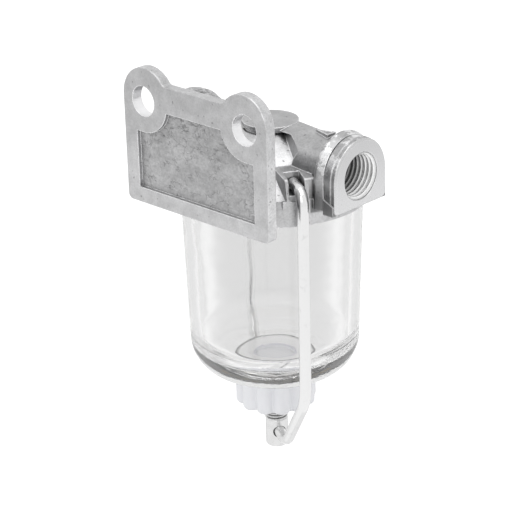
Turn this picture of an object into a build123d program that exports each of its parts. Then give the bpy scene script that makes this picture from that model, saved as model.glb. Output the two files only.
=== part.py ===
from build123d import *
import math
import os

# Sediment-bowl fuel filter, in millimetres.
# X runs along the two ports, +Y from the mounting face towards the bowl, +Z up.
# The origin is midway between the two mounting holes, on the mounting face.

# Mounting plate
hole_spacing = 40.0
mount_hole_radius = 4.5
plate_width = 56.6
plate_thickness = 3.5
plate_top_z = 5.9
ear_radius = 9.0
ear_rise = 1.0
ear_blend_radius = 1.5
plate_corner_radius = 1.8
plate_edge_round = 0.35
plate_above_rim = 0.3
pocket_depth = 1.2
pocket_side_margin = 5.2
pocket_bottom_margin = 4.8
pocket_top_margin = 7.8
pocket_hole_land = 4.9
rib_centre_x = 5.5
rib_thickness = 3.5
rib_high_z = -9.0
rib_low_z = -17.0

# Bowl axis and the cover that the bowl closes against
bowl_y = 31.55
cover_radius = 29.3
cover_bottom_z = -31.9
skirt_depth = 3.5
skirt_clearance = 0.4
deck_thickness = 1.8
crown_edge_rise = 2.4
crown_edge_radius = 28.4

# Central tower with its disc
disc_radius = 8.4
disc_thickness = 1.1
disc_edge_round = 0.4
disc_top_z = -9.25
neck_inset = 0.9
neck_height = 1.2
web_root_width = 3.9
web_tip_width = 2.4
tower_base_radius = 17.5

# Ports and the passages behind them
port_axis_z = -18.8
port_reach = 34.9
inlet_flange_half_width = 11.2
outlet_flange_half_width = 12.2
flange_thickness = 4.2
flange_below_axis = 9.3
flange_corner_radius = 1.6
flange_land_length = 1.9
flange_land_step = 0.2
flange_edge_chamfer = 0.6
groove_width = 0.3
groove_depth = 0.15
groove_drop = 0.5
collar_length = 3.7
inlet_collar_half_width = 12.0
outlet_collar_half_width = 11.2
collar_front_slope = 0.75
collar_front_length = 2.2
collar_crest_round = 0.9
collar_blend_radius = 1.5
pipe_half_width = 9.45
thread_radius = 7.0
thread_depth = 12.5
mouth_chamfer = 0.25
passage_radius = 4.0
inlet_drop_radius = 2.2
foot_stand_out = 0.25
foot_rise_back = 4.6
foot_rise_front = 2.9
foot_front_gap = 0.8

# Flow arrow cast on the inlet pipe
arrow_tip_x = 17.8
arrow_length = 6.0
arrow_half_width = 1.85
arrow_height = 0.95
arrow_rim = 0.45
arrow_recess_depth = 0.25
arrow_sink = 1.0

# Bail: its plane, the wire and the lugs that it hooks over
bail_angle = 31.5
wire_radius = 1.72
bail_cover_gap = 1.98
bail_top_z = -20.8
bail_knee_z = -85.7
bail_foot_reach = 11.2
bail_hook_length = 9.8
bail_top_bend = 4.2
bail_knee_bend = 14.0
bail_foot_bend = 11.0
wire_end_round = 0.4
wire_hole_gap = 0.04

lug_top_z = -17.2
lug_tip_z = -18.2
lug_half_width = 4.75
lug_inner_reach = 18.8
narrow_lobe_setback = 1.1
narrow_lobe_taper = 1.3
lug_front_setback = 0.6
lobe_nose_round = 1.1
trough_half_width = 2.0
trough_draft = 11.0
trough_end_reach = 19.0
slot_clearance = 0.6
slot_floor_gap = 0.05
slot_back_gap = 0.35
slot_offset = 0.45

# Glass bowl
bowl_top_radius = 27.2
bowl_taper = 1.35
bowl_bottom_z = -88.3
bowl_wall = 3.2
bowl_base = 6.5
bowl_corner_width = 9.8
bowl_corner_height = 11.0
bowl_inner_corner = 8.0
bowl_lip_round = 0.6

# Gasket and strainer
gasket_thickness = 1.7
gasket_overhang = 0.1
strainer_radius = 18.4
strainer_clearance = 0.1
strainer_height = 3.2
recess_headroom = 0.2
strainer_ledge_width = 2.6
strainer_wall = 1.4
strainer_ledge_height = 1.0
gauze_thickness = 0.4
gauze_clearance = 0.1

# Thumb nut and stud
nut_radius = 12.5
nut_height = 12.5
nut_lobes = 12
nut_lobe_depth = 2.3
nut_valley_radius = 0.6
nut_start_angle = 8.0
nut_edge_round = 1.5
nut_top_round = 0.4
nut_recess_radius = 6.1
nut_recess_depth = 1.2
nut_flange_thickness = 1.0
nut_floor = 1.0
nut_travel = 5.0
stud_radius = 3.5
stud_bottom_z = -116.2
stud_end_gap = 0.3
stud_edge_round = 0.7
stud_bore_clearance = 0.05
cross_hole_radius = 2.02
cross_hole_z = -110.8

# Places that follow from the sizes above
plate_bottom_z = cover_bottom_z + plate_above_rim
ear_centre_x = plate_width / 2 - ear_radius
skirt_inner_radius = bowl_top_radius + skirt_clearance
seat_z = cover_bottom_z + skirt_depth
deck_z = seat_z + deck_thickness
crown_edge_z = deck_z + crown_edge_rise
neck_radius = disc_radius - neck_inset
disc_bottom_z = disc_top_z - disc_thickness
tower_top_z = disc_bottom_z - neck_height
pipe_crest_z = port_axis_z + pipe_half_width
flange_back_x = port_reach - flange_thickness
groove_back_x = flange_back_x - groove_width
collar_back_x = flange_back_x - collar_length
flange_bottom_z = port_axis_z - flange_below_axis
gasket_bottom_z = seat_z - gasket_thickness
bowl_low_radius = bowl_top_radius - bowl_taper
bowl_inner_radius = bowl_top_radius - bowl_wall
recess_radius = strainer_radius + strainer_clearance
recess_top_z = seat_z + strainer_height + recess_headroom
slot_half_width = wire_radius + slot_clearance
slot_floor_z = bail_top_z - wire_radius - slot_floor_gap
bail_foot_z = cross_hole_z + cross_hole_radius - wire_radius - wire_hole_gap
bail_reach = cover_radius + wire_radius + bail_cover_gap
slot_back_reach = bail_reach - bail_hook_length - slot_back_gap
nut_bottom_z = bowl_bottom_z - nut_height
bore_top_z = bowl_bottom_z - nut_recess_depth - nut_floor
stud_top_z = bore_top_z - nut_travel - stud_end_gap
inlet_drop_x = (recess_radius + bowl_inner_radius) / 2
fusing_overlap = 0.5


def upright(radius, z_low, z_high):
    """A cylinder on the bowl's axis between two heights."""
    return Pos(0, bowl_y, (z_low + z_high) / 2) * Cylinder(radius, z_high - z_low)


def turned(points):
    """A body turned about the bowl's axis from (radius, z) points."""
    outline = Plane.XZ * make_face(Polyline(*points, close=True))
    return Pos(0, bowl_y, 0) * revolve(outline, Axis.Z)


def bail_side(index):
    """The frame of one bail lug: x runs outwards along the bail, y across it."""
    return Pos(0, bowl_y, 0) * Rot(0, 0, 180 * index - bail_angle)


def side_slab(points, half_width):
    """A slab of a bail lug: (reach, z) points made thick both ways across the bail."""
    return extrude(Plane.XZ * make_face(Polyline(*points, close=True)), half_width, both=True)


def plate_outline():
    """The plate's front view: a rectangle with two round ears at its top corners."""
    height = plate_top_z - plate_bottom_z
    outline = Pos(0, plate_bottom_z + height / 2) * Rectangle(plate_width, height)
    for side in (-1, 1):
        shoulder = Pos(side * ear_centre_x, ear_rise) * Circle(ear_radius)
        above_ear = Pos(side * (ear_centre_x + ear_radius / 2), ear_rise + ear_radius)
        outline = outline - above_ear * Rectangle(ear_radius, 2 * ear_radius)
        outline = outline + shoulder
    low = outline.vertices().group_by(Axis.Y)[0]
    outline = fillet(low, plate_corner_radius)
    inner = [v for v in outline.vertices() if abs(v.Y - plate_top_z) < 0.01]
    return fillet(inner, ear_blend_radius)


def pocket_outline():
    """The shallow field in the mounting face, kept clear of a land round each hole."""
    width = plate_width - 2 * pocket_side_margin
    low = plate_bottom_z + pocket_bottom_margin
    high = plate_top_z - pocket_top_margin
    field = Pos(0, (low + high) / 2) * Rectangle(width, high - low)
    for side in (-1, 1):
        land = mount_hole_radius + pocket_hole_land
        field = field - Pos(side * hole_spacing / 2, 0) * Circle(land)
        outside = Pos(side * width / 2, -land / 2) * Rectangle(width - hole_spacing, land)
        field = field - outside
    return field


def mounting_plate():
    """The plate with rounded rims. Holes and pocket are cut from the whole casting."""
    face = Plane(origin=(0, 0, 0), x_dir=(1, 0, 0), z_dir=(0, -1, 0))
    plate = extrude(face * plate_outline(), -plate_thickness)
    rims = plate.edges().group_by(Axis.Y)
    return fillet(rims[0] + rims[-1], plate_edge_round)


def plate_cuts():
    """The two mounting holes and the shallow pocket."""
    face = Plane(origin=(0, 0, 0), x_dir=(1, 0, 0), z_dir=(0, -1, 0))
    cuts = extrude(face * pocket_outline(), -pocket_depth)
    for side in (-1, 1):
        hole = Pos(side * hole_spacing / 2, 0) * Circle(mount_hole_radius)
        cuts = cuts + extrude(face * hole, -plate_thickness)
    return cuts


def arch(x_start, x_end, half_width, bottom_z, corner=0.0):
    """A length of the port body: round on top, with straight sides down to bottom_z."""
    plane = Plane(origin=(x_start, bowl_y, port_axis_z), x_dir=(0, 1, 0), z_dir=(1, 0, 0))
    drop = port_axis_z - bottom_z
    profile = Circle(half_width) + Pos(0, -drop / 2) * Rectangle(2 * half_width, drop)
    profile = profile & Pos(0, (half_width - drop) / 2) * Rectangle(2 * half_width, half_width + drop)
    if corner > 0:
        profile = fillet(profile.vertices().group_by(Axis.Y)[0], corner)
    return extrude(plane * profile, x_end - x_start)


def port_flange(half_width):
    """The end of a right-hand port: a machined land, a slightly wider rim, a groove behind it."""
    land_x = port_reach - flange_land_length
    land = arch(land_x, port_reach, half_width - flange_land_step,
                flange_bottom_z + flange_land_step, flange_corner_radius)
    land = chamfer(land.edges().group_by(Axis.X)[-1], flange_edge_chamfer)
    rim = arch(flange_back_x, land_x, half_width, flange_bottom_z, flange_corner_radius)
    neck = arch(groove_back_x, flange_back_x, half_width - groove_depth, flange_bottom_z)
    return land + rim + Pos(0, 0, -groove_drop) * neck


def port_collar(half_width):
    """The rough-cast swelling behind the flange, sloped in front and blended into the pipe."""
    pipe = arch(0, collar_back_x, pipe_half_width, deck_z - fusing_overlap)
    collar = arch(collar_back_x, groove_back_x, half_width, deck_z - fusing_overlap)
    front = collar.faces().sort_by(Axis.X)[-1]
    outer = [e for e in front.edges() if e.center().Z > deck_z]
    collar = chamfer(outer, collar_front_slope, collar_front_length, reference=front)
    back = collar.faces().sort_by(Axis.X)[0]
    crest = [e for e in back.edges() if e.center().Z > deck_z]
    body = pipe + fillet(crest, collar_crest_round)
    seam = [e for e in body.edges() if e.geom_type == GeomType.CIRCLE
            and abs(e.center().X - collar_back_x) < 0.01 and e.radius < pipe_half_width + 0.1]
    return fillet(seam, collar_blend_radius)


def port_foot(flange_half_width):
    """The low web that joins a flange's sides to the cover's rim, with a sloping top."""
    front_x = port_reach - foot_front_gap
    side = make_face(Polyline((groove_back_x, flange_bottom_z), (front_x, flange_bottom_z),
                              (front_x, flange_bottom_z + foot_rise_front),
                              (groove_back_x, flange_bottom_z + foot_rise_back), close=True))
    return Pos(0, bowl_y, 0) * extrude(Plane.XZ * side, flange_half_width + foot_stand_out, both=True)


def one_port(flange_half_width, collar_half_width):
    """A port on the right-hand side: pipe, collar, flange and foot, as solid metal."""
    collar = port_collar(collar_half_width)
    return collar + port_flange(flange_half_width) + port_foot(flange_half_width)


def port_bore(side):
    """The threaded mouth of one port and the passage behind it."""
    inner_x = port_reach - thread_depth
    thread = Cylinder(thread_radius, thread_depth, align=(Align.CENTER, Align.CENTER, Align.MAX))
    mouth = Cone(thread_radius, thread_radius + mouth_chamfer, mouth_chamfer,
                 align=(Align.CENTER, Align.CENTER, Align.MAX))
    along = Pos(side * port_reach, bowl_y, port_axis_z) * Rot(0, 90 * side, 0)
    passage_end = inlet_drop_x if side > 0 else 0.0
    length = inner_x - passage_end + passage_radius
    passage = Pos(side * (inner_x - length / 2), bowl_y, port_axis_z) * Rot(0, 90, 0) * Cylinder(
        passage_radius, length)
    return along * (thread + mouth) + passage


def passages():
    """Everything that the fuel runs through: two bores, the inlet drop and the riser."""
    drop = Pos(inlet_drop_x, bowl_y, (seat_z + port_axis_z) / 2) * Cylinder(
        inlet_drop_radius, port_axis_z - seat_z)
    riser = upright(passage_radius, recess_top_z - fusing_overlap, port_axis_z)
    return port_bore(1) + port_bore(-1) + drop + riser


def cover():
    """The round cover: a rim with a low conical crown."""
    rim = upright(cover_radius, cover_bottom_z, deck_z)
    crown = turned([(0, deck_z), (cover_radius, deck_z), (crown_edge_radius, crown_edge_z),
                    (disc_radius, tower_top_z), (0, tower_top_z)])
    return rim + crown


def trough():
    """The open channel down the rib: a flat floor with drafted walls."""
    slope = Vector(lug_inner_reach - disc_radius, 0, lug_top_z - tower_top_z)
    height = 2 * (disc_bottom_z - lug_top_z)
    spread = math.tan(math.radians(trough_draft)) * height
    section = Plane(origin=(0, 0, tower_top_z - slope.Z / slope.X * disc_radius),
                    x_dir=(0, 1, 0), z_dir=(1, 0, 0)) * make_face(Polyline(
        (-trough_half_width, 0), (trough_half_width, 0),
        (trough_half_width + spread, height), (-trough_half_width - spread, height), close=True))
    channel = extrude(section, slope.length / slope.X * cover_radius, dir=slope.normalized())
    span = trough_end_reach - neck_radius
    window = Pos(neck_radius + span / 2, 0, (disc_bottom_z + lug_top_z) / 2) * Box(
        span, 2 * cover_radius, disc_bottom_z - lug_top_z)
    return channel & window


def lobe_front(setback, across_low, across_high, foot_reach):
    """What is cut from the front of a lobe: a round nose, then a face down to the rim's edge."""
    nose = cover_radius - setback
    start = nose - lobe_nose_round
    slope = (lug_tip_z - lug_top_z) / (cover_radius - lug_inner_reach)
    start_z = lug_top_z + slope * (start - lug_inner_reach)
    outside = cover_radius + 1
    bend = RadiusArc((start, start_z), (nose, start_z - lobe_nose_round), lobe_nose_round)
    rest = Polyline((nose, start_z - lobe_nose_round), (foot_reach, crown_edge_z), (outside, crown_edge_z),
                    (outside, lug_top_z), (start, lug_top_z), (start, start_z))
    front = Plane.XZ * make_face(bend + rest)
    return Pos(0, across_high, 0) * extrude(front, across_high - across_low)


def narrow_lobe_side():
    """What is cut from the narrower lobe's outer side, so that it tapers to its nose."""
    outside = cover_radius + 1
    plan = make_face(Polyline((lug_inner_reach, -lug_half_width),
                              (outside, narrow_lobe_taper - lug_half_width),
                              (outside, -lug_half_width - 1),
                              (lug_inner_reach, -lug_half_width - 1), close=True))
    return Pos(0, 0, crown_edge_z) * extrude(plan, lug_top_z - crown_edge_z)


def lug(index):
    """One bail lug: a steep rib down from the tower, a gently sloping top and two shaped lobes."""
    rib = side_slab([(0, deck_z), (0, tower_top_z), (disc_radius, tower_top_z),
                     (lug_inner_reach, lug_top_z), (cover_radius, lug_tip_z),
                     (cover_radius, deck_z)], lug_half_width)
    slot_side = -slot_offset - slot_half_width
    narrow = lobe_front(narrow_lobe_setback, -lug_half_width, slot_side, cover_radius)
    front_reach = cover_radius - lug_front_setback
    wide = lobe_front(lug_front_setback, slot_side, lug_half_width, front_reach)
    rib = rib - narrow - wide - narrow_lobe_side()
    return bail_side(index) * rib & upright(cover_radius, deck_z, disc_bottom_z)


def lug_cuts(index):
    """The trough down the rib and the wire slot in its end."""
    length = cover_radius + 5 - slot_back_reach
    height = lug_top_z + 1 - slot_floor_z
    slot = Pos(slot_back_reach + length / 2, -slot_offset, slot_floor_z + height / 2) * Box(
        length, 2 * slot_half_width, height)
    return bail_side(index) * (trough() + slot)


def tower():
    """The conical tower with its neck and overhanging disc."""
    body = Pos(0, bowl_y, (deck_z + tower_top_z) / 2) * Cone(
        tower_base_radius, disc_radius, tower_top_z - deck_z)
    neck = upright(neck_radius, tower_top_z - fusing_overlap, disc_bottom_z + fusing_overlap)
    disc = upright(disc_radius, disc_bottom_z, disc_top_z)
    disc = fillet(disc.edges().sort_by(Axis.Z)[-1], disc_edge_round)
    return body + neck + disc


def disc_web():
    """A low web on the side away from the plate that runs the disc's rim out into the right pipe."""
    outline = make_face(Polyline((0, 0), (0, web_root_width), (disc_radius, web_root_width),
                                 (arrow_tip_x, web_tip_width), (arrow_tip_x, 0), close=True))
    height = pipe_crest_z - tower_top_z
    return Pos(0, bowl_y, tower_top_z) * extrude(outline, height)


def flow_arrow():
    """A raised triangle with a sunk face on the inlet pipe that points to the tower."""
    tail_x = arrow_tip_x + arrow_length
    outline = make_face(Polyline((arrow_tip_x, 0), (tail_x, -arrow_half_width),
                                 (tail_x, arrow_half_width), close=True))
    arrow = extrude(outline, arrow_height + arrow_sink)
    sunk = extrude(offset(outline, -arrow_rim, kind=Kind.INTERSECTION), arrow_recess_depth)
    arrow = arrow - Pos(0, 0, arrow_height + arrow_sink - arrow_recess_depth) * sunk
    return Pos(0, bowl_y, pipe_crest_z - arrow_sink) * arrow


def plate_ribs():
    """Two ribs behind the plate that carry the load of the body into it."""
    root = plate_thickness / 2
    end = bowl_y - tower_base_radius / 2
    side = Plane.YZ * make_face(Polyline((root, deck_z - fusing_overlap), (end, deck_z - fusing_overlap),
                                         (end, rib_low_z), (root, rib_high_z), close=True))
    rib = extrude(side, rib_thickness / 2, both=True)
    return Pos(rib_centre_x, 0, 0) * rib + Pos(-rib_centre_x, 0, 0) * rib


def underside():
    """The bowl's seat and the strainer's recess, cut from below."""
    seat = upright(skirt_inner_radius, cover_bottom_z, seat_z)
    recess = upright(recess_radius, seat_z, recess_top_z)
    return seat + recess


def filter_head():
    """The whole aluminium casting: plate, cover, tower, ports and bail lugs."""
    inlet = one_port(inlet_flange_half_width, inlet_collar_half_width) + disc_web()
    outlet = mirror(one_port(outlet_flange_half_width, outlet_collar_half_width), about=Plane.YZ)
    body = cover() + mounting_plate() + inlet + outlet + tower() + plate_ribs()
    for index in (0, 1):
        body = body + lug(index)
    for index in (0, 1):
        body = body - lug_cuts(index)
    body = body + upright(disc_radius, disc_bottom_z, disc_top_z) + flow_arrow()
    return body - underside() - passages() - plate_cuts()


def bowl_gasket():
    """The flat rubber ring that seals the bowl's lip."""
    ring = upright(skirt_inner_radius - gasket_overhang, gasket_bottom_z, seat_z)
    return ring - upright(bowl_inner_radius - gasket_overhang, gasket_bottom_z, seat_z)


def strainer_frame():
    """The brass ring with an inner ledge that holds the gauze."""
    low = recess_top_z - strainer_height
    return turned([(strainer_radius - strainer_ledge_width, low), (strainer_radius, low),
                   (strainer_radius, recess_top_z), (strainer_radius - strainer_wall, recess_top_z),
                   (strainer_radius - strainer_wall, low + strainer_ledge_height),
                   (strainer_radius - strainer_ledge_width, low + strainer_ledge_height)])


def strainer_gauze():
    """The disc of fine brass gauze that lies on the frame's ledge."""
    low = recess_top_z - strainer_height + strainer_ledge_height
    return upright(strainer_radius - strainer_wall - gauze_clearance, low, low + gauze_thickness)


def sediment_bowl():
    """The pressed glass bowl: tapered wall, round lower corner and thick flat base."""
    top = gasket_bottom_z
    corner_z = bowl_bottom_z + bowl_corner_height
    flat = bowl_low_radius - bowl_corner_width
    floor_z = bowl_bottom_z + bowl_base
    inner_low = bowl_low_radius - bowl_wall
    outer = Polyline((0, bowl_bottom_z), (flat, bowl_bottom_z))
    corner = EllipticalCenterArc((flat, corner_z), bowl_corner_width, bowl_corner_height,
                                 start_angle=270, arc_size=90)
    wall = Polyline((bowl_low_radius, corner_z), (bowl_top_radius, top), (bowl_inner_radius, top),
                    (inner_low, floor_z + bowl_inner_corner))
    bend = RadiusArc((inner_low, floor_z + bowl_inner_corner),
                     (inner_low - bowl_inner_corner, floor_z), bowl_inner_corner)
    inside = Polyline((inner_low - bowl_inner_corner, floor_z), (0, floor_z), (0, bowl_bottom_z))
    outline = Plane.XZ * make_face(outer + corner + wall + bend + inside)
    bowl = Pos(0, bowl_y, 0) * revolve(outline, Axis.Z)
    return fillet(bowl.edges().group_by(Axis.Z)[-1], bowl_lip_round)


def lobed_outline():
    """The nut's plan: shallow lobes as arcs that meet in valleys."""
    valley = nut_radius - nut_lobe_depth
    step = 2 * math.pi / nut_lobes
    start = math.radians(nut_start_angle)
    arcs = Curve()
    for n in range(nut_lobes):
        points = [(r * math.cos(start + a), r * math.sin(start + a)) for r, a in (
            (valley, n * step), (nut_radius, (n + 0.5) * step), (valley, (n + 1) * step))]
        arcs = arcs + ThreePointArc(*points)
    outline = make_face(arcs)
    return fillet(outline.vertices(), nut_valley_radius)


def thumb_nut():
    """The moulded nylon nut: lobed under a round flange, with a recess in its closed top."""
    lobes = Pos(0, bowl_y, nut_bottom_z) * extrude(lobed_outline(), nut_height - nut_top_round)
    lobes = fillet(lobes.edges().group_by(Axis.Z)[0], nut_edge_round)
    flange = upright(nut_radius, bowl_bottom_z - nut_flange_thickness, bowl_bottom_z)
    flange = fillet(flange.edges().group_by(Axis.Z)[-1], nut_top_round)
    recess = upright(nut_recess_radius, bowl_bottom_z - nut_recess_depth, bowl_bottom_z)
    bore = upright(stud_radius + stud_bore_clearance, nut_bottom_z, bore_top_z)
    return lobes + flange - recess - bore


def clamp_stud():
    """The steel stud: threaded above, plain below, cross-drilled for the wire."""
    stud = upright(stud_radius, stud_bottom_z, stud_top_z)
    stud = fillet(stud.edges().group_by(Axis.Z)[0], stud_edge_round)
    stud = chamfer(stud.edges().group_by(Axis.Z)[-1], stud_edge_round)
    hole = bail_side(0) * Pos(0, 0, cross_hole_z) * Rot(0, 90, 0) * Cylinder(
        cross_hole_radius, 4 * stud_radius)
    return stud - hole


def bail_wire():
    """One bent wire: both ends hook over the lugs, its middle runs through the stud."""
    hook_end = bail_reach - bail_hook_length
    right = [(hook_end, bail_top_z), (bail_reach, bail_top_z), (bail_reach, bail_knee_z),
             (bail_foot_reach, bail_foot_z)]
    left = [(-x, z) for x, z in reversed(right)]
    route = [Vector(x, 0, z) for x, z in right + left]
    bends = [bail_top_bend, bail_knee_bend, bail_foot_bend,
             bail_foot_bend, bail_knee_bend, bail_top_bend]
    path = FilletPolyline(*route, radius=bends)
    section = Plane(origin=route[0], x_dir=(0, 1, 0), z_dir=(1, 0, 0)) * Circle(wire_radius)
    wire = sweep(section, path=path)
    ends = [e for e in wire.edges().filter_by(GeomType.CIRCLE) if abs(abs(e.center().X) - hook_end) < 0.01]
    return bail_side(0) * fillet(ends, wire_end_round)


parts = {
    "filter_head": filter_head(),
    "bowl_gasket": bowl_gasket(),
    "strainer_frame": strainer_frame(),
    "strainer_gauze": strainer_gauze(),
    "sediment_bowl": sediment_bowl(),
    "thumb_nut": thumb_nut(),
    "clamp_stud": clamp_stud(),
    "bail_wire": bail_wire(),
}

os.makedirs("parts", exist_ok=True)
for name, shape in parts.items():
    export_step(shape, f"parts/{name}.step")
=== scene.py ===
"""Sediment-bowl fuel filter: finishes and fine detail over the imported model, with its studio and camera."""
from math import radians, tau

import bmesh
import bpy
import numpy as np
from mathutils import Matrix, Vector


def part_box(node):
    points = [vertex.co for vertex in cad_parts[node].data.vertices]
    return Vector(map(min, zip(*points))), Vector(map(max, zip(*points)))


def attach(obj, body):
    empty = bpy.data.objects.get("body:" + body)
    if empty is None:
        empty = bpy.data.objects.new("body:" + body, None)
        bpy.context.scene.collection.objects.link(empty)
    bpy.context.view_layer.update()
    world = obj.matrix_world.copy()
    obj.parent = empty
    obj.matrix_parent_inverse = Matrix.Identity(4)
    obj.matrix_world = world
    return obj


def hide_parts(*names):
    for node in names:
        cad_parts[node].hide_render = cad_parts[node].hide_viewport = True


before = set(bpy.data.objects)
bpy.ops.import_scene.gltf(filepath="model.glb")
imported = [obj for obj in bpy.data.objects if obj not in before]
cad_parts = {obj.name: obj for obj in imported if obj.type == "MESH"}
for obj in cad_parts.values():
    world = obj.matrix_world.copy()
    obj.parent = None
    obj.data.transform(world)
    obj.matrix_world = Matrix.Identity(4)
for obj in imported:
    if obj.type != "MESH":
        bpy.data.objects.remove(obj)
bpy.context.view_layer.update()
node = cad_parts

# Places that the part's source gives, in metres
MM = 0.001
hole_x = 20.0 * MM
hole_radius = 4.5 * MM
plate_thickness = 3.5 * MM
pocket_depth = 1.2 * MM
bowl_y = 31.55 * MM

port_axis_z = -18.8 * MM
port_reach = 34.9 * MM
thread_depth = 12.5 * MM
mouth_chamfer = 0.25 * MM
bore_radius = 7.0 * MM
collar_back_x = port_reach - 7.9 * MM
collar_half_width = 12.0 * MM
tower_radius = 17.5 * MM

bowl_top_radius = 27.2 * MM
bowl_low_radius = 25.85 * MM
bowl_bottom_z = -88.3 * MM
bowl_top_z = -30.1 * MM
bowl_wall = 3.2 * MM
bowl_base = 6.5 * MM
bowl_corner_width = 9.8 * MM
bowl_corner_height = 11.0 * MM
bowl_inner_corner = 8.0 * MM
bowl_lip_round = 0.6 * MM

nut_radius = 12.5 * MM
nut_recess_radius = 6.1 * MM
stud_radius = 3.5 * MM
stud_thread_end_z = -107.3 * MM


# Working out surfaces

def facing_out(points, faces):
    """The faces turned so that the body they close has a positive volume."""
    volume = 0.0
    for part in faces:
        a = points[part[:, 0]]
        for k in range(1, part.shape[1] - 1):
            volume += np.einsum("ij,ij->", a, np.cross(points[part[:, k]], points[part[:, k + 1]]))
    return [part[:, ::-1] if volume < 0 else part for part in faces]


def skin(name, rows, ring=False):
    """A closed body over a grid of points: columns run round it and close on themselves.
    Either the rows close too, as on a ring, or the middle of the first and last row is its pole."""
    count, across = rows.shape[:2]
    index = np.arange(count * across).reshape(count, across)
    low = index if ring else index[:-1]
    high = np.roll(index, -1, 0) if ring else index[1:]
    faces = [np.stack([low, np.roll(low, -1, 1), np.roll(high, -1, 1), high], -1).reshape(-1, 4)]
    points = rows.reshape(-1, 3)
    if not ring:
        poles = np.array([rows[0].mean(0), rows[-1].mean(0)])
        first, last = count * across, count * across + 1
        points = np.concatenate([points, poles])
        around = np.roll(index, -1, 1)
        fans = [np.stack([np.full(across, first), around[0], index[0]], -1),
                np.stack([np.full(across, last), index[-1], around[-1]], -1)]
        faces.append(np.concatenate(fans))
    faces = facing_out(points, faces)
    mesh = bpy.data.meshes.new(name)
    mesh.from_pydata(points.tolist(), [], [f for part in faces for f in part.tolist()])
    mesh.validate()
    return mesh


def link(obj):
    """Puts an object into the scene."""
    bpy.context.scene.collection.objects.link(obj)
    return obj


def piece(name, mesh, body, finish, sharp=None):
    """Puts a mesh into the scene as a piece of the object, smooth but for edges over the sharp angle."""
    obj = link(bpy.data.objects.new(name, mesh))
    mesh.materials.append(finish)
    mesh.polygons.foreach_set("use_smooth", np.ones(len(mesh.polygons), bool))
    if sharp:
        mesh.set_sharp_from_angle(angle=radians(sharp))
    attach(obj, body)
    return obj


def about_bowl(radius, angle, z):
    """Points at a radius and an angle about the bowl's axis, at a height."""
    radius, angle, z = np.broadcast_arrays(radius, angle, z)
    return np.stack([radius * np.cos(angle), bowl_y + radius * np.sin(angle), z], -1)


def ramp(value, low, high):
    """Rises smoothly from 0 to 1 as the value goes from low to high."""
    t = np.clip((value - low) / (high - low), 0, 1)
    return t * t * (3 - 2 * t)


def ridge(turns, crest, flank):
    """Height of a screw thread from 0 in its root to 1 on its crest, by turns along the axis.
    A triangle wave, cut off flat above and below so that the crest takes the share given."""
    wave = 1 - np.abs(2 * (turns % 1.0) - 1)
    return np.clip((wave - (1 - crest - flank)) / flank, 0, 1)


# Finishes

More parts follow.
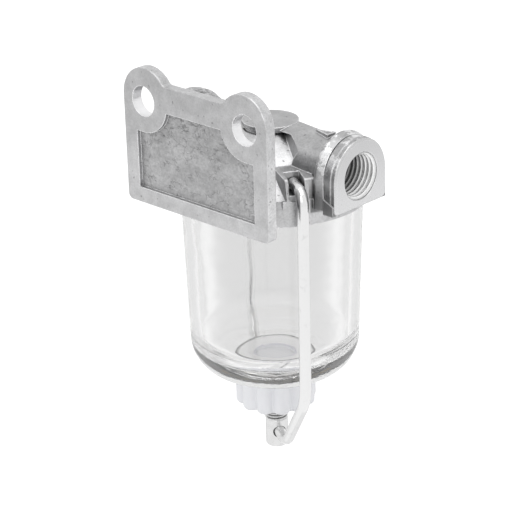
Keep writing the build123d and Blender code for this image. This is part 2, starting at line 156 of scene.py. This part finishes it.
class Finish:
    """A material made from one principled shader, with short calls for the nodes that feed it."""

    def __init__(self, name, **sockets):
        self.material = bpy.data.materials.new(name)
        self.material.use_nodes = True
        self.tree = self.material.node_tree
        self.shader = self.tree.nodes["Principled BSDF"]
        self.place = self.add("ShaderNodeTexCoord").outputs["Object"]
        self.x, self.y, self.z = self.parts(self.place)
        self.dress(**sockets)

    def set(self, target, socket, value):
        """Gives a socket its number or colour, or links another socket to it."""
        entry = target.inputs[socket]
        if isinstance(value, bpy.types.NodeSocket):
            self.tree.links.new(value, entry)
        else:
            entry.default_value = value

    def add(self, kind, inputs=None, **settings):
        """Adds a node with its settings and its inputs."""
        made = self.tree.nodes.new(kind)
        for key, value in settings.items():
            setattr(made, key, value)
        for socket, value in (inputs or {}).items():
            self.set(made, socket, value)
        return made

    def dress(self, **sockets):
        """Sets or links the shader's own sockets. A space in a socket's name is written as _."""
        for socket, value in sockets.items():
            self.set(self.shader, socket.replace("_", " "), value)

    def parts(self, vector):
        """The three coordinates of a vector."""
        return tuple(self.add("ShaderNodeSeparateXYZ", {"Vector": vector}).outputs)

    def maths(self, operation, *values):
        """A node's sum on one, two or three numbers."""
        return self.add("ShaderNodeMath", dict(enumerate(values)), operation=operation).outputs[0]

    def vector(self, operation, *values):
        """A sum on one or two vectors, with its vector first and its number as Value."""
        return self.add("ShaderNodeVectorMath", dict(enumerate(values)), operation=operation).outputs

    def chain(self, operation, values):
        """The same sum carried on from the first number to the last."""
        total = values[0]
        for value in values[1:]:
            total = self.maths(operation, total, value)
        return total

    def plus(self, *values):
        """The numbers added up."""
        return self.chain("ADD", values)

    def times(self, *values):
        """The numbers multiplied together."""
        return self.chain("MULTIPLY", values)

    def most(self, *values):
        """The highest of the numbers."""
        return self.chain("MAXIMUM", values)

    def minus(self, value, taken):
        """The first number less the second."""
        return self.maths("SUBTRACT", value, taken)

    def unsigned(self, value):
        """The number without its sign."""
        return self.maths("ABSOLUTE", value)

    def length(self, a, b):
        """How long a step is that goes a one way and b across it."""
        return self.maths("SQRT", self.plus(self.times(a, a), self.times(b, b)))

    def span(self, value, low, high, start=0.0, end=1.0):
        """Rises or falls smoothly from start to end as the value goes from low to high."""
        inputs = {"Value": value, "From Min": low, "From Max": high, "To Min": start, "To Max": end}
        return self.add("ShaderNodeMapRange", inputs, interpolation_type="SMOOTHSTEP").outputs[0]

    def tint(self, level, share, factor):
        """The level, times the factor where the share is 1."""
        return self.times(level, self.span(share, 0, 1, 1.0, factor))

    def between(self, share, first, second):
        """A number that goes from the first to the second with the share."""
        return self.plus(self.times(first, self.minus(1.0, share)), self.times(second, share))

    def blend(self, share, first, second):
        """A colour that goes from the first to the second with the share."""
        made = self.add("ShaderNodeMix", data_type="RGBA")
        for index, value in ((0, share), (6, first), (7, second)):
            self.set(made, index, value)
        return made.outputs[2]

    def shade(self, level, blue=1.0):
        """The grey of a level, slightly bluish where blue is over 1."""
        return self.blend(level, grey(0.0), grey(1.0, blue))

    def noise(self, size, detail=3.0, rough=0.5, distortion=0.0, stretch=(1, 1, 1)):
        """Cloudy variation whose patches are about the given size in metres."""
        place = self.add("ShaderNodeMapping", {"Vector": self.place, "Scale": stretch}).outputs[0]
        inputs = {"Vector": place, "Scale": 1 / size, "Detail": detail, "Roughness": rough,
                  "Distortion": distortion}
        return self.add("ShaderNodeTexNoise", inputs).outputs[0]

    def openness(self, reach):
        """How open the surface lies within a reach, from 0 in a closed corner to 1."""
        return self.add("ShaderNodeAmbientOcclusion", {"Distance": reach}, samples=6).outputs["AO"]

    def relief(self, height, depth, normal=None):
        """Bumps of the given depth in metres."""
        inputs = {"Height": height, "Distance": depth, "Strength": 1.0}
        if normal is not None:
            inputs["Normal"] = normal
        return self.add("ShaderNodeBump", inputs).outputs[0]

    def rays(self):
        """The kinds of ray, and beside them a 1 for the blurred reflections in metal."""
        path = self.add("ShaderNodeLightPath").outputs
        return path, self.times(path["Is Reflection Ray"], self.minus(1.0, path["Is Singular Ray"]))

    def from_bowl_axis(self):
        """How far a place lies from the bowl's axis."""
        return self.length(self.x, self.minus(self.y, bowl_y))

    def from_port_axis(self):
        """How far a place lies from the axis that the two ports share."""
        return self.length(self.minus(self.y, bowl_y), self.minus(self.z, port_axis_z))


def grey(level, blue=1.0):
    """A neutral colour, slightly bluish where blue is over 1."""
    return (level, level, level * blue, 1.0)


def open_skin(f, front):
    """Level, sand and pits of the open casting: mottled in two sizes, brighter towards the bottom by
    painted light, and with a sandy grain that swings less on faces that look to the front of the plate."""
    sand = f.noise(0.6 * MM, 3, 0.7)
    pits = f.span(f.noise(1.4 * MM, 2, 0.4), 0.68, 0.74)
    mottle = f.span(f.noise(4 * MM, 6, 0.65), 0.3, 0.7, 0.43, 0.52)
    clouds = f.span(f.noise(13 * MM, 3, 0.5), 0.35, 0.7, -0.02, 0.04)
    # Painted light: the casting grows brighter towards the bottom.
    lower = f.span(f.z, 10 * MM, -36 * MM, 0.93, 1.11)
    swing = f.span(front, 0, 1, 0.13, 0.09)
    grain = f.maths("MULTIPLY_ADD", f.span(sand, 0.3, 0.7, -1, 1), swing, 1.0)
    level = f.times(f.plus(mottle, clouds), lower, grain)
    return f.tint(level, pits, 0.6), sand, pits


def field_skin(f):
    """Level and relief of the shallow field in the plate: dull and wrinkled, with dark patches most
    high up and painted shade that darkens it towards the top, and crossed by fine flow lines that
    follow the middle contour of a noise."""
    high = f.span(f.z, -16 * MM, -6 * MM)
    dark_patches = f.span(f.noise(1.9 * MM, 5, 0.65, 0.4, (0.6, 1, 1.2)), 0.53, 0.66)
    dark_patches = f.times(dark_patches, f.maths("MULTIPLY_ADD", high, 0.75, 0.25))
    contour = f.unsigned(f.minus(f.noise(4.5 * MM, 4, 0.55, 0.6), 0.5))
    lines = f.times(f.span(contour, 0.014, 0.003), f.span(f.noise(6 * MM, 2), 0.46, 0.54))
    wrinkles = f.noise(1.6 * MM, 5, 0.7, 1.0, (0.55, 1, 1.3))
    grain = f.span(f.noise(0.9 * MM, 4, 0.7), 0.3, 0.7, 0.34, 0.43)
    clouds = f.span(f.noise(7 * MM, 3, 0.5, 0, (0.6, 1, 1)), 0.35, 0.65, 0.93, 1.09)
    # Painted shade: the field grows darker towards the top.
    level = f.times(grain, clouds, f.span(high, 0, 1, 1.08, 0.96))
    level = f.tint(level, dark_patches, 0.6)
    level = f.times(level, f.span(wrinkles, 0.36, 0.64, 0.92, 1.07))
    level = f.tint(level, lines, 0.82)
    return level, f.plus(lines, f.times(f.plus(dark_patches, wrinkles), -0.5))


def painted_highlight_patches(f, sideways, rise):
    """Share of the collars and flanges that carries a painted highlight, in broken patches that are
    strongest on top of the inlet's."""
    collar = f.times(f.span(sideways, collar_back_x - 0.2 * MM, collar_back_x + 0.6 * MM),
                     f.span(rise, 0, 4 * MM, 0.25, 1.0),
                     f.span(f.y, 9 * MM, 10 * MM))
    return f.times(collar, f.span(f.noise(3.4 * MM, 5, 0.7), 0.5, 0.58),
                   f.span(f.x, -10 * MM, 10 * MM, 0.5, 1.0))


def under_collars(f, sideways, rise):
    """Share of the shaded underside between the collars and the cover."""
    across = f.unsigned(f.minus(f.y, bowl_y))
    return f.times(f.times(f.span(sideways, collar_back_x - 2.5 * MM, collar_back_x - 1.5 * MM),
                           f.span(across, collar_half_width + 0.6 * MM, collar_half_width + 0.2 * MM)),
                   f.times(f.span(rise, 3 * MM, -6 * MM), f.span(rise, -10 * MM, -9 * MM)))


def painted_light_by_tower(f, sideways):
    """Share of the skin low on the tower, between the disc and the cover, that painted light brightens."""
    return f.times(f.times(f.span(f.z, -10 * MM, -11 * MM), f.span(f.z, -25 * MM, -23 * MM),
                           f.span(sideways, tower_radius - 0.5 * MM, tower_radius - 2.5 * MM)),
                   f.times(f.span(f.y, 5 * MM, 6 * MM), f.span(f.y, 26 * MM, 23 * MM)))


def cast_aluminium():
    """As-cast skin: sandy and mottled, with pits, painted shade in its corners and a painted highlight
    along its edges. The field in the plate is darker, and painted shade darkens the top of the
    cover. Painted light brightens the plate's edge faces; the holes through it and the turned port
    faces are brighter, and the collars carry patches of painted highlight. Painted shade darkens
    the underside below the collars, and painted light brightens the tower between the disc and
    the cover."""
    f = Finish("cast_aluminium_skin", Metallic=1.0)
    normal = f.add("ShaderNodeNewGeometry").outputs["True Normal"]
    facing_y = f.parts(normal)[1]
    front = f.span(facing_y, -0.9, -0.97)
    edge_on = f.span(f.unsigned(facing_y), 0.9, 0.8)
    sideways = f.unsigned(f.x)
    rise = f.minus(f.z, port_axis_z)
    field = f.times(front, f.span(f.y, pocket_depth - 0.4 * MM, pocket_depth - 0.1 * MM),
                    f.span(f.y, pocket_depth + 0.4 * MM, pocket_depth + 0.2 * MM))
    # Painted light on the plate's edge faces, which are made brighter.
    painted_edge_light = f.times(f.span(f.y, plate_thickness + 0.1 * MM, plate_thickness - 0.05 * MM), edge_on)
    # Painted shade on top: the cover's top, the disc and the pipe tops are darker.
    painted_top_shade = f.times(f.span(f.z, -14 * MM, -10.5 * MM), f.span(f.y, 8 * MM, 9 * MM))
    highlight_share = painted_highlight_patches(f, sideways, rise)
    turned = f.span(sideways, port_reach - 0.65 * MM, port_reach - 0.55 * MM)
    from_hole = f.length(f.minus(sideways, hole_x), f.z)
    bored = f.times(f.span(from_hole, hole_radius + 0.4 * MM, hole_radius + 0.2 * MM), edge_on)
    rounded = f.add("ShaderNodeBevel", {"Radius": 0.45 * MM}, samples=6).outputs[0]
    kept = f.vector("DOT_PRODUCT", rounded, normal)["Value"]
    # Painted highlight along the rounded edges, broken up by noise and weaker outboard.
    edge_highlight = f.times(f.span(kept, 0.995, 0.9),
                   f.span(f.noise(1.5 * MM, 4, 0.6), 0.36, 0.54, 0.4, 1.0),
                   f.span(sideways, collar_back_x, collar_back_x + 2 * MM, 1.0, 0.45))

    level, sand, pits = open_skin(f, front)
    field_level, field_relief = field_skin(f)
    level = f.between(field, level, field_level)
    level = f.tint(level, painted_edge_light, 1.24)
    level = f.tint(level, painted_top_shade, 0.87)
    # Painted highlight on the collars: the patches are lighter, and they are also smoother below.
    level = f.between(f.times(highlight_share, 0.75), level, 0.86)
    level = f.tint(level, under_collars(f, sideways, rise), 0.38)
    # Painted light brightens the tower between the disc and the cover.
    level = f.tint(level, painted_light_by_tower(f, sideways), 1.25)
    # The turned port faces are brighter metal, with painted light that makes them lighter towards the bottom.
    level = f.between(turned, level, f.span(rise, 11 * MM, -9 * MM, 0.56, 0.66))
    level = f.between(edge_highlight, level, 0.96)
    # Painted shade in corners and hollows: darker where the surface lies less open.
    for reach, darkest in ((1.2 * MM, 0.68), (5 * MM, 0.77)):
        level = f.times(level, f.span(f.openness(reach), 0.2, 0.75, darkest, 1.0))
    level = f.between(f.times(bored, 0.8), level, 0.92)

    roughness = f.plus(f.span(sand, 0.3, 0.7, 0.3, 0.42), f.times(field, 0.1))
    roughness = f.minus(roughness, f.times(f.plus(turned, highlight_share), 0.08))
    ring_pitch = 0.3 * MM
    rings = f.maths("SINE", f.times(f.from_port_axis(), tau / ring_pitch))
    surface = f.relief(sand, 0.035 * MM, rounded)
    surface = f.relief(pits, -0.05 * MM, surface)
    surface = f.relief(f.times(field_relief, field), 0.12 * MM, surface)
    surface = f.relief(f.times(rings, turned), 0.003 * MM, surface)
    f.dress(Base_Color=f.shade(level, 1.01), Roughness=roughness, Normal=surface)
    return f.material


def thread_metal():
    """Cut aluminium in the ports, with painted shade in the roots of the thread, further in and
    wherever less light gets in."""
    f = Finish("cut_aluminium", Metallic=1.0)
    speck = f.noise(0.5 * MM, 3)
    depth = f.minus(port_reach, f.unsigned(f.x))
    # Painted shade: darker where less light gets in, in the thread's roots and further into the bore.
    level = f.times(f.span(speck, 0.3, 0.7, 0.8, 0.95),
                    f.span(f.openness(7 * MM), 0.12, 0.48, 0.1, 1.0),
                    f.span(f.from_port_axis(), bore_radius - 0.6 * MM, bore_radius - 0.05 * MM, 1.0, 0.75),
                    f.span(depth, 3.5 * MM, 9.5 * MM, 1.0, 0.3))
    f.dress(Base_Color=f.shade(level), Roughness=f.span(speck, 0.3, 0.7, 0.3, 0.42))
    return f.material


def bright_wire():
    """Bright zinc on drawn wire: fine lines along it and a few duller marks. Painted shade makes
    the far leg a little darker than the near one."""
    f = Finish("bright_zinc_wire", Metallic=1.0)
    lines = f.noise(0.6 * MM, 3, 0.5, 0, (1, 1, 0.06))
    marks = f.span(f.noise(3 * MM, 4, 0.6), 0.55, 0.75)
    # Painted shade on the far leg.
    far_leg_shade = f.span(f.x, -2 * MM, -12 * MM)
    level = f.minus(f.span(marks, 0, 1, 0.77, 0.68), f.times(far_leg_shade, 0.08))
    f.dress(Base_Color=f.shade(level), Roughness=f.span(lines, 0.3, 0.7, 0.16, 0.24),
            Normal=f.relief(lines, 0.006 * MM))
    return f.material


def zinc_steel():
    """Zinc-plated turned steel for the stud: satin, with fine turning marks, and painted shade in
    the roots of its thread and in its cross hole."""
    f = Finish("zinc_plated_steel", Metallic=1.0)
    cloud = f.noise(2.5 * MM, 4, 0.5)
    turning = f.noise(0.3 * MM, 2, 0.5, 0, (0.1, 0.1, 1))
    # Painted shade in the thread's roots and in the cross hole.
    level = f.times(f.span(cloud, 0.3, 0.7, 0.66, 0.73), f.span(f.openness(2.5 * MM), 0.1, 0.5, 0.35, 1.0),
                    f.span(f.from_bowl_axis(), stud_radius - 0.05 * MM, stud_radius - 0.45 * MM, 1.0, 0.45))
    f.dress(Base_Color=f.shade(level), Roughness=f.span(cloud, 0.3, 0.7, 0.24, 0.32),
            Normal=f.relief(turning, 0.006 * MM))
    return f.material


def white_nylon():
    """Moulded white nylon, satin and a little translucent. The top that the bowl rests on is
    painted whitest as painted light, with painted shade that makes it greyer in its recess and
    dark round its rim, where hardly any light gets in."""
    f = Finish("moulded_nylon", Subsurface_Weight=0.2, Subsurface_Radius=(1.0, 1.0, 1.0),
               Subsurface_Scale=1.2 * MM, IOR=1.53)
    radius = f.from_bowl_axis()
    # Painted light whitens the top, and painted shade greys its recess and darkens its rim.
    top = f.span(f.z, bowl_bottom_z - 0.55 * MM, bowl_bottom_z - 0.3 * MM)
    rim = f.times(top, f.span(radius, nut_radius - 1.5 * MM, nut_radius - 0.3 * MM))
    middle = f.times(top, f.span(radius, nut_recess_radius + 0.9 * MM, nut_recess_radius + 0.3 * MM))
    colour = f.blend(f.noise(6 * MM, 3), (0.81, 0.815, 0.845, 1), (0.85, 0.855, 0.875, 1))
    colour = f.blend(top, colour, (0.96, 0.96, 0.97, 1))
    colour = f.blend(middle, colour, (0.68, 0.67, 0.74, 1))
    f.dress(Base_Color=f.blend(rim, colour, grey(0.06)),
            Roughness=f.span(f.noise(0.8 * MM), 0.3, 0.7, 0.36, 0.46),
            Normal=f.relief(f.noise(0.6 * MM, 2), 0.012 * MM))
    return f.material


def pressed_glass():
    """Clear soda glass, a trace grey, with the faint ripple that pressing leaves and an uneven
    foot. Lamps, light from matt surfaces and the blurred reflections in metal pass straight
    through it, as do a fifth of the rays that have bounced four times and all that have bounced
    more."""
    f = Finish("pressed_glass", Transmission_Weight=1.0, Roughness=0.0, IOR=1.5,
               Base_Color=grey(0.963))
    ripple = f.noise(9 * MM, 2, 0.4, 0.3, (1, 1, 0.35))
    foot = f.span(f.z, bowl_bottom_z + 9.3 * MM, bowl_bottom_z + 4.3 * MM)
    uneven = f.times(f.noise(3 * MM, 3, 0.5, 0.4), foot)
    f.dress(Normal=f.relief(uneven, 0.07 * MM, f.relief(ripple, 0.02 * MM)))
    path, blurred = f.rays()
    bounced = path["Ray Depth"]
    lost = f.plus(f.times(f.maths("GREATER_THAN", bounced, 3.5), 0.18),
                  f.times(f.maths("GREATER_THAN", bounced, 4.5), 0.82))
    straight = f.most(path["Is Shadow Ray"], path["Is Diffuse Ray"], blurred, lost)
    clear = f.add("ShaderNodeBsdfTransparent", {"Color": grey(0.97)})
    both = f.add("ShaderNodeMixShader", {0: straight, 1: f.shader.outputs[0], 2: clear.outputs[0]})
    depth = f.add("ShaderNodeVolumeAbsorption", {"Color": grey(0.5), "Density": 10.0})
    output = f.tree.nodes["Material Output"]
    f.set(output, "Surface", both.outputs[0])
    f.set(output, "Volume", depth.outputs[0])
    return f.material


def black_rubber():
    """Matt seal rubber, painted a patchy pale grey as painted light, which stands in for light that hardly
    reaches it.
    """
    f = Finish("seal_rubber", Specular_IOR_Level=0.35)
    # Painted light: pale grey patches instead of black rubber.
    grey_patches = f.noise(1.5 * MM, 4)
    f.dress(Base_Color=f.blend(f.span(grey_patches, 0.4, 0.8), grey(0.4), grey(0.6)),
            Roughness=f.span(grey_patches, 0.3, 0.7, 0.6, 0.75),
            Normal=f.relief(f.noise(0.4 * MM), 0.02 * MM))
    return f.material


def plain_brass():
    """Pressed brass sheet with fine spin marks."""
    f = Finish("pressed_brass", Metallic=1.0)
    cloud = f.noise(4 * MM, 4)
    f.dress(Base_Color=f.blend(cloud, (0.6, 0.44, 0.2, 1), (0.78, 0.62, 0.34, 1)),
            Roughness=f.span(cloud, 0.3, 0.7, 0.24, 0.38),
            Normal=f.relief(f.noise(0.3 * MM, 2, 0.5, 0, (1, 1, 0.2)), 0.01 * MM))
    return f.material


def woven_brass():
    """Tinned brass gauze in a plain weave: two crossed sets of wires that pass over and under
    each other, with painted shade where the wires dip."""
    f = Finish("woven_brass_gauze", Metallic=1.0, Roughness=0.35)
    pitch = 0.5 * MM
    warp = f.maths("COSINE", f.times(f.x, tau / pitch))
    weft = f.maths("COSINE", f.times(f.y, tau / pitch))
    over = f.maths("COSINE", f.times(f.y, tau / (2 * pitch)))
    under = f.maths("SINE", f.times(f.x, tau / (2 * pitch)))
    height = f.most(f.plus(warp, over), f.plus(weft, under))
    # Painted shade: darker where the weave lies low.
    colour = f.blend(f.span(height, -0.2, 1.2), (0.3, 0.28, 0.23, 1), (0.85, 0.82, 0.74, 1))
    f.dress(Base_Color=colour, Normal=f.relief(height, 0.02 * MM))
    return f.material


# Glass bowl

nut_gap = 0.03 * MM
floor_middle = 0.3 * MM
foot_middle = 0.4 * MM
seam_angles = (radians(-54), radians(126))
seam_height = 0.03 * MM
seam_half_width = 0.45 * MM
seam_reach = radians(2.4)


def arc(centre, width, height, start, end, steps):
    """(radius, height) points along part of an ellipse, by degrees, its last point left out."""
    a = np.radians(np.linspace(start, end, steps, endpoint=False))
    return np.stack([centre[0] + width * np.cos(a), centre[1] + height * np.sin(a)], -1)


def run(start, end, steps):
    """(radius, height) points along a straight line, its last point left out."""
    t = np.linspace(0, 1, steps, endpoint=False)[:, None]
    return np.array(start) * (1 - t) + np.array(end) * t


def bowl_section():
    """The bowl's section from the middle of its underside, up the outside, over the lip and
    down the inside to the middle of its floor, with a 1 on every row that lies outside."""
    flat = bowl_low_radius - bowl_corner_width
    under_z = bowl_bottom_z + nut_gap
    corner_z = bowl_bottom_z + bowl_corner_height
    floor_z = bowl_bottom_z + bowl_base
    inner_corner_z = floor_z + bowl_inner_corner
    inner_top, inner_low = bowl_top_radius - bowl_wall, bowl_low_radius - bowl_wall
    inner_flat = inner_low - bowl_inner_corner
    r = bowl_lip_round
    lip_z = bowl_top_z - r
    outside = [run((foot_middle, under_z), (flat, under_z), 12),
               arc((flat, corner_z), bowl_corner_width, corner_z - under_z, 270, 360, 40),
               run((bowl_low_radius, corner_z), (bowl_top_radius, lip_z), 48),
               arc((bowl_top_radius - r, lip_z), r, r, 0, 90, 6)]
    inside = [arc((inner_top + r, lip_z), r, r, 90, 180, 6),
              run((inner_top, lip_z), (inner_low, inner_corner_z), 44),
              arc((inner_flat, inner_corner_z), bowl_inner_corner, bowl_inner_corner, 0, -90, 28),
              run((inner_flat, floor_z), (floor_middle, floor_z), 12)]
    rows = np.concatenate(outside + inside)
    return rows, np.arange(len(rows)) < sum(map(len, outside))


def pressed_bowl():
    """The section turned about the bowl's axis. Outside, the radius grows by a bell curve over
    each of the mould's two seams. Inside, it swings by a few hundredths with the sines of angle
    and height that the plunger left. Both fade out in the base and at the lip."""
    rows, outer = bowl_section()
    near_seam = np.linspace(-seam_reach, seam_reach, 17)
    angles = np.concatenate([np.linspace(-np.pi, np.pi, 240, endpoint=False)]
                            + [a + near_seam for a in seam_angles])
    angles = np.unique(np.round((angles + np.pi) % tau - np.pi, 6))
    radius, z = rows[:, :1].copy(), rows[:, 1:]
    wall = ramp(radius, 12 * MM, 22 * MM)
    seam = sum(np.exp(-(((angles - a + np.pi) % tau - np.pi) * radius / seam_half_width) ** 2)
               for a in seam_angles)
    ripple = (0.02 * np.sin(3 * angles + 900 * z) * np.cos(5 * angles - 420 * z)
              + 0.012 * np.sin(7 * angles + 260 * z + 1.3)) * MM
    below_lip = ramp(z, bowl_top_z - 0.2 * MM, bowl_top_z - 3 * MM)
    proud = np.where(outer[:, None], seam_height * seam, ripple) * wall * below_lip
    return skin("pressed_bowl", about_bowl(radius + proud, angles[None, :], z))


# Screw threads

port_pitch = 1.5 * MM
port_thread_height = 0.78 * MM
port_thread_sink = 0.05 * MM
port_thread_fit = 0.02 * MM
stud_pitch = 1.0 * MM
stud_thread_depth = 0.55 * MM
stud_end_chamfer = 0.7 * MM
thread_overlap = 0.05 * MM


def port_thread(turned_by):
    """A ring whose inner side is the port's thread: a cylinder less a helical ridge, whose phase
    is the place along the axis over the pitch less the share of a turn. The ridge fades out at
    the mouth and at the bottom, and the plain outer side lies inside the casting."""
    inner_x = port_reach - thread_depth + thread_overlap
    outer_x = port_reach - mouth_chamfer
    x = np.linspace(inner_x, outer_x, 150)[:, None]
    angle = np.linspace(0, tau, 96, endpoint=False)[None, :]
    height = ridge(x / port_pitch - angle / tau, crest=0.16, flank=0.76)
    height = height * ramp(outer_x - x, 0, 0.9 * MM) * ramp(x - inner_x, 0, 0.6 * MM)
    radius = bore_radius - port_thread_fit - port_thread_height * height
    back = np.full((2, angle.size), bore_radius + port_thread_sink)
    radius = np.concatenate([radius, back])
    x = np.concatenate([x, [[outer_x], [inner_x]]])
    y, z = radius * np.cos(angle), radius * np.sin(angle)
    x, y, z = np.broadcast_arrays(x, y, z)
    side = np.cos(turned_by)
    rows = np.stack([side * x, bowl_y + side * y, port_axis_z + z], -1)
    return skin("port_thread", rows, ring=True)


def merged(name):
    """A copy of a CAD node's mesh with its doubled points merged."""
    made = bmesh.new()
    made.from_mesh(node[name].data)
    bmesh.ops.remove_doubles(made, verts=made.verts, dist=1e-6)
    return made


def as_mesh(name, made):
    """The worked mesh as one that a piece can take."""
    mesh = bpy.data.meshes.new(name)
    made.to_mesh(mesh)
    made.free()
    return mesh


def cut_stud():
    """The stud's thread is its radius less a helical groove, from the chamfered end down to the
    plain shank. The shank, with its cross hole, is the lower part of the solid stud."""
    top_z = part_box("clamp_stud")[1].z
    z = np.linspace(top_z, stud_thread_end_z - thread_overlap, 190)[:, None]
    angle = np.linspace(0, tau, 64, endpoint=False)[None, :]
    groove = 1 - ridge(z / stud_pitch - angle / tau, crest=0.2, flank=0.66)
    groove = groove * ramp(z - stud_thread_end_z, 0, 0.8 * MM)
    radius = stud_radius - stud_thread_depth * groove
    radius = np.minimum(radius, stud_radius - stud_end_chamfer + (top_z - z))
    shank = merged("clamp_stud")
    cut = bmesh.ops.bisect_plane(shank, geom=shank.verts[:] + shank.edges[:] + shank.faces[:],
                                 plane_co=(0, 0, stud_thread_end_z), plane_no=(0, 0, 1), clear_outer=True)
    rim = [e for e in cut["geom_cut"] if isinstance(e, bmesh.types.BMEdge)]
    bmesh.ops.contextual_create(shank, geom=rim)
    bmesh.ops.recalc_face_normals(shank, faces=shank.faces)
    made = bmesh.new()
    made.from_mesh(skin("stud_thread", about_bowl(radius, angle, z)))
    made.from_mesh(as_mesh("stud_shank", shank))
    return as_mesh("threaded_stud", made)


# The object's pieces

finishes = {
    "filter_head": cast_aluminium(), "bowl_gasket": black_rubber(), "strainer_frame": plain_brass(),
    "strainer_gauze": woven_brass(), "thumb_nut": white_nylon(),
}
for name, finish in finishes.items():
    node[name].data.materials.clear()
    node[name].data.materials.append(finish)

bowl = piece("pressed_bowl", pressed_bowl(), "bowl", pressed_glass())
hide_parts("sediment_bowl")
drawn = as_mesh("bail_wire", merged("bail_wire"))
wire = piece("drawn_wire", drawn, "head", bright_wire(), sharp=50)
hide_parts("bail_wire")
stud = piece("threaded_stud", cut_stud(), "head", zinc_steel(), sharp=35)
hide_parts("clamp_stud")
cut_metal = thread_metal()
piece("inlet_thread", port_thread(0), "head", cut_metal)
piece("outlet_thread", port_thread(np.pi), "head", cut_metal)


# Studio

paper_z = -0.30
paper_half = 6.0
shaded_way = (-0.696, 0.718, 0)
part_middle = (0, bowl_y, -0.055)

photo_side_px = 510
photo_focal_px = 1873.07
film_width_mm = 36.0
camera_place = (0.35704, -0.34520, 0.16719)
camera_right = (0.72516, 0.68819, -0.02337)
camera_up = (-0.25255, 0.29739, 0.92075)
camera_back = (0.64060, -0.66179, 0.38946)


def studio_world():
    """A white light tent all round. At a strength of 1 it is plain white to the camera, in
    reflections and through the glass."""
    world = bpy.data.worlds.new("light_tent")
    bpy.context.scene.world = world
    world.use_nodes = True
    background = world.node_tree.nodes["Background"]
    background.inputs["Color"].default_value = (1, 1, 1, 1)
    background.inputs["Strength"].default_value = 1.0


def paper_shade(f):
    """The paper's level by the way that a place lies from the bowl: a painted shadow of the part,
    greyest in a wedge behind the bowl, more so further out, and a little greyer beside that wedge."""
    step = f.vector("SUBTRACT", f.place, (0, bowl_y, paper_z))[0]
    away = f.vector("LENGTH", step)["Value"]
    along = f.vector("DOT_PRODUCT", f.vector("NORMALIZE", step)[0], shaded_way)["Value"]
    # Painted shadow of the part on the paper, in and beside the wedge behind the bowl.
    behind = f.times(f.span(along, 0.965, 0.999), f.span(away, 0.36, 0.56, 0.78, 1.0))
    beside = f.times(f.span(along, 0.965, 0.92), f.span(along, 0.6, 0.75))
    return f.minus(f.span(behind, 0, 1, 0.7, 0.45), f.times(beside, 0.2))


def paper_floor():
    """A sheet of pale paper well below the part. It catches shadows, and a little light of its
    own, for the camera, reflections and the glass, brings it up to white."""
    f = Finish("pale_paper", Roughness=0.9, Specular_IOR_Level=0.1)
    path, blurred = f.rays()
    through = f.most(path["Is Glossy Ray"], path["Is Transmission Ray"])
    lift = f.plus(f.times(path["Is Camera Ray"], 0.75), f.times(through, 0.28), f.times(blurred, 0.08))
    f.dress(Base_Color=f.shade(paper_shade(f)), Emission_Color=(1, 1, 1, 1), Emission_Strength=lift)
    corners = [(x * paper_half, y * paper_half, paper_z) for x, y in ((-1, -1), (1, -1), (1, 1), (-1, 1))]
    mesh = bpy.data.meshes.new("paper_floor")
    mesh.from_pydata(corners, [], [(0, 1, 2, 3)])
    mesh.materials.append(f.material)
    link(bpy.data.objects.new("paper_floor", mesh))


def softbox(name, place, size, power):
    """A square lamp that faces the middle of the part."""
    lamp = bpy.data.lights.new(name, "AREA")
    lamp.size, lamp.energy = size, power
    obj = link(bpy.data.objects.new(name, lamp))
    obj.location = place
    obj.visible_camera = False
    obj.rotation_mode = "QUATERNION"
    obj.rotation_quaternion = (Vector(part_middle) - Vector(place)).to_track_quat("-Z", "Y")


def photo_camera():
    """The camera as it stood for the photograph, solved from the plate's corners, ears and holes."""
    lens = bpy.data.cameras.new("photo_camera")
    lens.sensor_width = film_width_mm
    lens.lens = photo_focal_px / photo_side_px * film_width_mm
    lens.clip_start, lens.clip_end = 0.01, 20.0
    camera = link(bpy.data.objects.new("photo_camera", lens))
    turn = Matrix((camera_right, camera_up, camera_back)).transposed().to_4x4()
    camera.matrix_world = Matrix.Translation(camera_place) @ turn
    bpy.context.scene.camera = camera


studio_world()
paper_floor()
softbox("high_softbox", (0.05, 0.01, 0.42), size=0.35, power=0.5)
softbox("front_softbox", (0.27, -0.54, 0.44), size=0.4, power=0.5)
photo_camera()
bpy.context.scene.view_settings.view_transform = "Standard"
